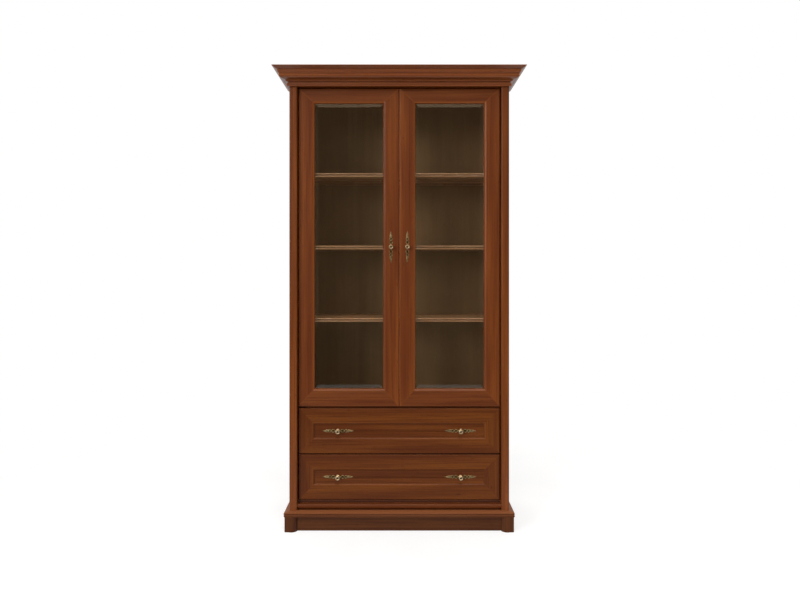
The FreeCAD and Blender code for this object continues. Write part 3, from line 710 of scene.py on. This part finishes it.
# %% Lay out the plate
low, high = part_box("left_door_handle")
HALF_LENGTH = (high.z - low.z) / 2
KNOB_RADIUS = (high.x - low.x) / 2
KNOB_REACH = 0.024
FIRST_LOOP, SECOND_LOOP, LEAF_START = 0.0115, 0.0290, 0.0405
LOOP_HALF_WIDTH = 0.0062
RIBBON, RIBBON_RISE = 0.00155, 0.0017
LEAF_HALF_WIDTH = 0.0055
print(f"a plate {HALF_LENGTH * 2000:.0f} mm long, a knob {KNOB_RADIUS * 2000:.0f} mm across")


# %% Skin a row of rings
def joined_rings(shape, rings):
    """Skins a row of rings of vertices, and closes both ends."""
    for first, second in zip(rings, rings[1:]):
        count = len(first)
        for index in range(count):
            after = (index + 1) % count
            shape.faces.new((first[index], first[after], second[after], second[index]))
    shape.faces.new(rings[0][::-1])
    shape.faces.new(rings[-1])


def ring_of(shape, place, points):
    """One ring from (along, across, up) points of the plate."""
    return [shape.verts.new(place(*point)) for point in points]


print("shapes are skinned from ring to ring")


# %% Draw a ribbon
def ribbon(shape, place, path, half_width, rise, steps=9):
    """A ribbon with a domed face, whose middle runs along a path of (along, across)."""
    rings = []
    for index, (along, across) in enumerate(path):
        before, after = path[max(0, index - 1)], path[min(len(path) - 1, index + 1)]
        run = math.hypot(after[0] - before[0], after[1] - before[1])
        side = ((before[1] - after[1]) / run, (after[0] - before[0]) / run)
        points = []
        for step in range(steps):
            turn = math.pi * step / (steps - 1)
            out, up = math.cos(turn) * half_width, math.sin(turn) * rise
            points.append((along + side[0] * out, across + side[1] * out, up))
        rings.append(ring_of(shape, place, points))
    joined_rings(shape, rings)


print(f"ribbons {RIBBON * 2000:.1f} mm wide")

# %% Turn a shape on the lathe
DOME_TOP = 88


def turned(shape, place, profile, centre=(0.0, 0.0), segments=32):
    """A turned shape from (radius, height) points, from the foot to the middle of the face."""
    turns = [math.tau * step / segments for step in range(segments)]
    joined_rings(shape, [
        ring_of(shape, place, [(centre[0] + radius * math.cos(turn),
                                centre[1] + radius * math.sin(turn), height) for turn in turns])
        for radius, height in profile])


def arc(middle, radius, first, last, steps=6):
    """Points on a round stretch of a profile, from one angle in degrees to another."""
    angles = [math.radians(first + (last - first) * step / steps) for step in range(steps + 1)]
    return [(middle[0] + radius * math.cos(a), middle[1] + radius * math.sin(a)) for a in angles]


def dome(shape, place, radius, centre, segments=12, foot=0.0):
    """A small dome, which ends in a tiny flat face so that it skins cleanly."""
    turned(shape, place, arc((0, foot), radius, 0, DOME_TOP), centre, segments)


print("a half-round is turned through", len(arc((0, 0), 1, 0, 180)), "points")

# %% Loops
LOOP_FULLNESS, OUTER_LOOP_SHARE = 0.8, 0.92
LEAF_COVER = 0.001
LOOP_END = LEAF_START + LEAF_COVER


def loops(along, turn):
    """How far a ribbon stands from the middle line, at a place along the plate."""
    start, end, half = FIRST_LOOP, SECOND_LOOP, LOOP_HALF_WIDTH
    if along >= SECOND_LOOP:
        start, end, half = SECOND_LOOP, LOOP_END, -LOOP_HALF_WIDTH * OUTER_LOOP_SHARE
    if along <= start:
        return 0.0
    return turn * half * math.sin(math.pi * (along - start) / (end - start)) ** LOOP_FULLNESS


print(f"loops cross {SECOND_LOOP * 1000:.0f} mm from the knob's middle")

# %% The sunk ground
GROUND_RISE, GROUND_STEPS, GROUND_LEAST = 0.0004, 48, 0.0003
DIMPLE_RADIUS, DIMPLE_FOOT, DIMPLE_LIP = 0.0036, 0.0036, 0.0029
BED_CENTRE, BED_RADIUS, BED_START = 0.0040, 0.0024, 40


def ground(shape, place):
    """The sunk ground inside the loops, and the bottom of the knob's dimple."""
    for way in (-1, 1):
        rings = []
        for step in range(GROUND_STEPS + 1):
            along = FIRST_LOOP + (LEAF_START - FIRST_LOOP) * step / GROUND_STEPS
            half = max(GROUND_LEAST, abs(loops(along, 1)))
            corners = ((-half, 0), (-half, GROUND_RISE), (half, GROUND_RISE), (half, 0))
            rings.append(ring_of(shape, place, [(way * along, *corner) for corner in corners]))
        joined_rings(shape, rings)
    walls = [(DIMPLE_RADIUS, KNOB_REACH - depth) for depth in (DIMPLE_FOOT, DIMPLE_LIP)]
    bed = arc((0, KNOB_REACH - BED_CENTRE), BED_RADIUS, BED_START, DOME_TOP, steps=4)
    turned(shape, place, walls + bed, segments=24)


print(f"the ground is {GROUND_RISE * 1000:.1f} mm thick")

# %% [markdown]
# A cast leaf is more than its outline. It is widest a fifth of the way along,
# its edge has soft lobes that die out towards the point, a vein is sunk down
# its middle, and side veins run out from that at a slant.

# %% The leaf
LEAF_STEPS, LEAF_RIBS = 26, 13
LEAF_FOOT, LEAF_SKEW, LEAF_FULLNESS = 0.08, 0.52, 0.9
LEAF_POINT = 0.0004
LEAF_EDGE, LEAF_TOP, LEAF_FALL, LEAF_ROUND = 0.0006, 0.0019, 0.0008, 0.8
VEIN_DEPTH, VEIN_WIDTH = 0.0008, 0.16
SIDE_VEIN_DEPTH, SIDE_VEINS, SIDE_VEIN_SLANT = 0.00022, 9, 2.2
LOBE_DEPTH, LOBES = 0.10, 3.5


def leaf_half_width(share):
    """Half the leaf's width, at a share of its length from its foot."""
    past_foot = min(1, LEAF_FOOT + share * (1 - LEAF_FOOT))
    outline = math.sin(math.pi * past_foot ** LEAF_SKEW) ** LEAF_FULLNESS
    lobes = 1 + LOBE_DEPTH * math.cos(share * math.tau * LOBES) * (1 - share)
    return max(LEAF_POINT, LEAF_HALF_WIDTH * outline * lobes)


def leaf_height(share, across):
    """How high the leaf stands, at a share of its length and from -1 to 1 across it."""
    round_over = math.sqrt(max(0, 1 - across * across * LEAF_ROUND))
    crown = (LEAF_TOP - LEAF_FALL * share) * round_over
    vein = VEIN_DEPTH * math.exp(-(across / VEIN_WIDTH) ** 2)
    slant = share * SIDE_VEINS - abs(across) * SIDE_VEIN_SLANT
    return crown - vein + SIDE_VEIN_DEPTH * math.cos(slant * math.tau) * (1 - share)


def leaf(shape, place, way):
    """A pointed leaf with sunk veins and a lobed edge."""
    rings = []
    for step in range(LEAF_STEPS + 1):
        share = step / LEAF_STEPS
        along = way * (LEAF_START + (HALF_LENGTH - LEAF_START) * share)
        half = leaf_half_width(share)
        ribs = [-1 + 2 * rib / LEAF_RIBS for rib in range(1, LEAF_RIBS)]
        points = [(along, -half, 0.0), (along, -half, LEAF_EDGE)]
        points += [(along, half * across, leaf_height(share, across)) for across in ribs]
        points += [(along, half, LEAF_EDGE), (along, half, 0.0)]
        rings.append(ring_of(shape, place, points))
    joined_rings(shape, rings)


print(f"each leaf is {(HALF_LENGTH - LEAF_START) * 1000:.0f} mm long")

# %% One side of the plate
RIBBON_STEP, RIBBON_STEPS = 0.0006, 56
BOSS_COVER = 0.003
RIBBON_OVERLAP = 0.0002
BUDS = ((0.0348, 0.0066, 0.0019), (0.0205, 0.0071, 0.0015))
STUD_RADIUS = 0.0024


def plate_side(shape, place, way):
    """Loops, buds and leaf on one side of the knob; way is 1 or -1."""
    places = [FIRST_LOOP - BOSS_COVER + RIBBON_STEP * step for step in range(RIBBON_STEPS)]
    for turn in (-1, 1):
        path = [(way * along, loops(along, turn)) for along in places]
        ribbon(shape, place, path, RIBBON, RIBBON_RISE + RIBBON_OVERLAP * turn)
        for along, across, radius in BUDS:
            dome(shape, place, radius, (way * along, turn * across))
    for crossing in (FIRST_LOOP, SECOND_LOOP, LEAF_START):
        dome(shape, place, STUD_RADIUS, (way * crossing, 0), segments=14, foot=GROUND_RISE)
    leaf(shape, place, way)


print(f"{len(BUDS) * 4} buds and 6 studs on each plate")

# %% [markdown]
# The knob is turned in one piece with its boss: a low round foot, a slim neck,
# and a head with a fat ring round a dimple. A screw comes through the wood from
# behind, and its head, with a round recess in it, shows when the door or drawer
# is open.

# %% The knob
RING_RADIUS, RING_SETBACK = 0.0032, 0.0008
BOSS_FOOT, BOSS_EDGE, BOSS_ROUND = 0.0092, (0.0078, 0.0008), 0.0014
BOSS_TOP = [(0.0068, 0.0016), (0.0062, 0.0022)]
NECK = [(0.0045, 0.0034), (0.0040, 0.0075), (0.0046, 0.0120), (0.0064, 0.0148)]
RING_START, RING_END, RING_STEPS = -62, 128, 12
DISH = [(0.0040, 0.0022), (DIMPLE_RADIUS, 0.0032)]


def knob(shape, place):
    """The boss, neck and head, from the plate outwards."""
    boss = [(BOSS_FOOT, 0)] + arc(BOSS_EDGE, BOSS_ROUND, 0, 90) + BOSS_TOP
    ring = (KNOB_RADIUS - RING_RADIUS, KNOB_REACH - RING_RADIUS - RING_SETBACK)
    head = arc(ring, RING_RADIUS, RING_START, RING_END, RING_STEPS)
    dish = [(radius, KNOB_REACH - depth) for radius, depth in DISH]
    turned(shape, place, boss + NECK + head + dish)


print(f"the knob stands {KNOB_REACH * 1000:.0f} mm out")

# %% The screw behind it
SHANK_RADIUS, SHANK_REACH = 0.0019, 0.010
HEAD_RADIUS, HEAD_RISE, HEAD_TURNS = 0.0040, 0.0019, (0.5, 0.9, 1.2)
RECESS = [(0.0013, 0.0017), (0.0011, 0.0009)]


def screw(shape, place, depth):
    """A screw through wood of some depth, with its head at the back."""
    profile = [(SHANK_RADIUS, SHANK_REACH), (SHANK_RADIUS, -depth), (HEAD_RADIUS, -depth)]
    profile += [(HEAD_RADIUS * math.cos(a), -depth - HEAD_RISE * math.sin(a))
                for a in HEAD_TURNS]
    profile += [(radius, -depth - out) for radius, out in RECESS]
    turned(shape, place, profile, segments=20)


print(f"screw heads {HEAD_RADIUS * 2000:.0f} mm across")


# %% Cast a handle
def in_state(shape, state, make):
    """Gives the faces that a function makes one state of the brass."""
    before = len(shape.faces)
    make()
    shape.faces.ensure_lookup_table()
    for face in shape.faces[before:]:
        face.material_index = state


def cast(centres, upright, depth):
    """The shape of a handle on every centre."""
    shape = bmesh.new()
    for centre in centres:
        def place(along, across, up, centre=centre):
            level, rise = (across, along) if upright else (along, -across)
            return centre + Vector((level, -up, rise))
        screw(shape, place, depth)
        for way in (-1, 1):
            plate_side(shape, place, way)
        in_state(shape, KNOB, lambda: knob(shape, place))
        in_state(shape, GROUND, lambda: ground(shape, place))
    bmesh.ops.recalc_face_normals(shape, faces=shape.faces)
    return shape


print("a handle is a screw, two sides of a plate, a knob and a sunk ground")

# %% Make a cast shape a piece
SHARP_ANGLE = math.radians(40)


def handle_piece(name, node, body, shape):
    """Makes a cast shape the piece that stands for a node of the frame."""
    mesh = bpy.data.meshes.new(name)
    shape.to_mesh(mesh)
    shape.free()
    mesh.shade_smooth()
    mesh.set_sharp_from_angle(angle=SHARP_ANGLE)
    for state in (PLATE, KNOB, GROUND):
        mesh.materials.append(BRASS[state])
    piece = bpy.data.objects.new(name, mesh)
    bpy.context.scene.collection.objects.link(piece)
    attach(piece, body)
    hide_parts(node)


print(f"faces that meet at more than {math.degrees(SHARP_ANGLE):.0f} degrees keep their edge")

# %% Fit the handles
DOOR_THICKNESS, PANEL_THICKNESS = 0.020, 0.012

for side in SIDES:
    low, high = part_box(f"{side}_door_handle")
    middle = Vector(((low.x + high.x) / 2, low.y + KNOB_REACH, (low.z + high.z) / 2))
    handle_piece(f"{side}_door_pull", f"{side}_door_handle", f"{side}_door",
                 cast([middle], True, DOOR_THICKNESS))
for level in LEVELS:
    low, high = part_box(f"{level}_drawer_handles")
    centres = [Vector((x, low.y + KNOB_REACH, (low.z + high.z) / 2))
               for x in (low.x + HALF_LENGTH, high.x - HALF_LENGTH)]
    handle_piece(f"{level}_drawer_pulls", f"{level}_drawer_handles", f"{level}_drawer",
                 cast(centres, False, PANEL_THICKNESS))
print(f"six handles, each {HALF_LENGTH * 2000:.0f} mm long")

# %% [markdown]
# ## Easing the edges
#
# No sanded board has a knife edge. A Weld modifier joins the faces of each
# node, which arrive split along their edges, and a Bevel modifier rounds every
# sharp edge by well under a millimetre, which is what catches the light.

# %% Ease the edges of the woodwork
EASED, EASE_STEPS = 0.0007, 2
SPLIT_GAP = 0.00001
SHARP_EDGE = math.radians(35)


def ease_edges(node):
    """Rounds the sharp edges of a node, and leaves its mesh as it came."""
    weld = node.modifiers.new("join_faces", "WELD")
    weld.merge_threshold = SPLIT_GAP
    bevel = node.modifiers.new("ease_edges", "BEVEL")
    bevel.width, bevel.segments = EASED, EASE_STEPS
    bevel.limit_method, bevel.angle_limit = "ANGLE", SHARP_EDGE
    normals = node.modifiers.new("even_shading", "WEIGHTED_NORMAL")
    normals.keep_sharp = True


wooden = [name for name in nodes if "wood" in nodes[name].data.materials[0].name]
for name in wooden:
    ease_edges(nodes[name])
print(f"eased the edges of {len(wooden)} nodes")

# %% [markdown]
# ## The floor
#
# The bookcase stands in a plain white studio. The floor is a real pale floor
# that keeps the shadow. Rays that look at it also see it glow, and fade to
# plain white further out, so that it meets the white world without a line. The
# part in front of the bookcase would turn the lower panes milky, so mirrored
# rays see that part dim.

# %% Lay the floor
FLOOR_HALF, FLOOR_SQUARES = 9.0, 12
floor_mesh = bpy.data.meshes.new("floor")
shape = bmesh.new()
bmesh.ops.create_grid(shape, x_segments=FLOOR_SQUARES, y_segments=FLOOR_SQUARES, size=FLOOR_HALF)
shape.to_mesh(floor_mesh)
shape.free()
floor = bpy.data.objects.new("floor", floor_mesh)
bpy.context.scene.collection.objects.link(floor)
floor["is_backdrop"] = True
print(f"a floor {FLOOR_HALF * 2:.0f} m square")

# %% The plain floor, and rays that look at it
FLOOR_CLOUDS, FLOOR_GRIT = 3.0, 240.0
FLOOR_ROUGHNESS, CLOUD_DULLS = 0.7, 0.1
GRIT_BUMP, GRIT_DEPTH = 0.05, 0.0005


def light(finish, kind, colour, strength):
    """A shader that gives light: an emission, or a background in the world."""
    return finish.node(kind, sockets={"Color": colour, "Strength": strength})


def looked_at(finish):
    """1 for rays that show the background: seen straight, in a mirror or through glass."""
    straight = finish.node("ShaderNodeLightPath", out="Is Camera Ray")
    or_mirrored = straight.maths("MAXIMUM", straight.other("Is Glossy Ray"))
    return or_mirrored.maths("MAXIMUM", straight.other("Is Transmission Ray"))


def plain_floor(finish, place):
    """The floor itself, as the lamps light it."""
    cloud = noise(place, detail=4.0, scale=FLOOR_CLOUDS)
    grit = noise(place, detail=2.0, scale=FLOOR_GRIT)
    return finish.node("ShaderNodeBsdfPrincipled", sockets={
        "Base Color": blend(between(cloud, *CLOUD_STEP), stain("bcbbba"), stain("b6b5b4")),
        "Roughness": FLOOR_ROUGHNESS + cloud * CLOUD_DULLS, "Specular IOR Level": 0.0,
        "Normal": bump(grit, GRIT_BUMP, GRIT_DEPTH)})


print("the plain floor sends back", round(stain("bcbbba")[0], 2))

# %% The floor finish
WHITE, LAMPLIGHT = (1, 1, 1, 1), stain("ffcb90")
FLOOR_GLOW, FRONT_GLOW = 0.62, 0.22
FADE_START, FADE_END = 1.1, 2.2
FRONT_START, FRONT_END = -1.40, -1.72


def floor_finish():
    """White where it is looked at, with the shadow kept, and dim in front in mirrors."""
    finish = new_finish("white_floor")
    place = object_place(finish)
    x = part_of(place, "X")
    y = x.other("Y")
    plain = plain_floor(finish, place)
    glow = light(finish, "ShaderNodeEmission", WHITE, FLOOR_GLOW)
    white = light(finish, "ShaderNodeEmission", WHITE, 1.0)
    dim = light(finish, "ShaderNodeEmission", LAMPLIGHT, FRONT_GLOW)
    lit = finish.node("ShaderNodeAddShader", sockets={0: plain, 1: glow})
    near = finish.mixed(between(distance_out(x, y), FADE_START, FADE_END), lit, white)
    glossy = finish.node("ShaderNodeLightPath", out="Is Glossy Ray")
    in_front = (1 - between(y, FRONT_END, FRONT_START)) * glossy
    shown = finish.mixed(in_front, near, dim)
    return finish.surface(finish.mixed(looked_at(finish), plain, shown))


floor_mesh.materials.append(floor_finish())
print(f"the floor fades to white from {FADE_START} m to {FADE_END} m out")

# %% [markdown]
# ## The world
#
# An evenly white world lights the wood softly, but it would turn the panes into
# mirrors. A real pane looks dark, because it mirrors a dim room with a bright
# ceiling, and only the bevel at its top leans back far enough to catch that
# ceiling. So mirrored rays see a warm dim room in front, its ceiling above,
# a little light from the sides, and white behind. The camera sees white.

# %% The world
ROOM_LIGHT, DIM_ROOM, CEILING = 0.50, 0.26, 1.9
CEILING_COLOUR = stain("ffdcb6")
BEHIND_START, BEHIND_END = -0.35, 0.15
CEILING_START, CEILING_END = 0.34, 0.44
SIDE_START, SIDE_END, SIDE_SHARE = 0.16, 0.24, 0.14

world = bpy.data.worlds.new("studio")
bpy.context.scene.world = world
air = Finish(world, "ShaderNodeOutputWorld")
room = light(air, "ShaderNodeBackground", WHITE, ROOM_LIGHT)
dim = light(air, "ShaderNodeBackground", LAMPLIGHT, DIM_ROOM)
ceiling = light(air, "ShaderNodeBackground", CEILING_COLOUR, CEILING)
white = light(air, "ShaderNodeBackground", WHITE, 1.0)

heading = part_of(air.node("ShaderNodeTexCoord", out="Generated"), "Y")
behind = between(heading, BEHIND_START, BEHIND_END)
overhead = between(heading.other("Z"), CEILING_START, CEILING_END)
beside = between(abs(heading.other("X")), SIDE_START, SIDE_END) * SIDE_SHARE

seen = air.node("ShaderNodeLightPath", out="Is Camera Ray")
mirrored = seen.other("Is Glossy Ray").maths("MAXIMUM", seen.other("Is Transmission Ray"))
in_front = air.mixed(overhead.maths("MAXIMUM", beside), dim, ceiling)
in_mirrors = air.mixed(behind, in_front, white)
air.surface(air.mixed(seen, air.mixed(mirrored, room, in_mirrors), white))
print("a room at", ROOM_LIGHT, "with a ceiling at", CEILING)

# %% [markdown]
# ## The lamps
#
# Two broad, soft lamps do the modelling. One stands low on the left, like a
# window, and gives the posts and mouldings a light side and a dark side. The
# other hangs high in front and draws the shadow under the cornice.

# %% Hang the lamps
LAMP_DISTANCE = 5


def sky_lamp(name, heading, height, strength, softness):
    """A lamp far away: heading and height of where it stands, in degrees."""
    data = bpy.data.lights.new(name, "SUN")
    data.energy, data.angle = strength, math.radians(softness)
    lamp = bpy.data.objects.new(name, data)
    bpy.context.scene.collection.objects.link(lamp)
    turn, rise = math.radians(heading), math.radians(height)
    flat = math.cos(rise)
    place = Vector((math.sin(turn) * flat, -math.cos(turn) * flat, math.sin(rise)))
    lamp.location = place * LAMP_DISTANCE
    lamp.rotation_euler = place.to_track_quat("Z", "Y").to_euler()


sky_lamp("window_lamp", heading=-40, height=13, strength=1.58, softness=24)
sky_lamp("ceiling_lamp", heading=5, height=58, strength=1.25, softness=34)
bpy.context.scene.view_settings.view_transform = "Standard"
print("two lamps,", LAMP_DISTANCE, "m from the middle of the floor")

# %% [markdown]
# ## The size
#
# The dressed bookcase has to stay the size it was built to, so its outer size
# is printed.

# %% Print the outer size
low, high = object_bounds()
print("outer size", [round(v, 4) for v in high - low])
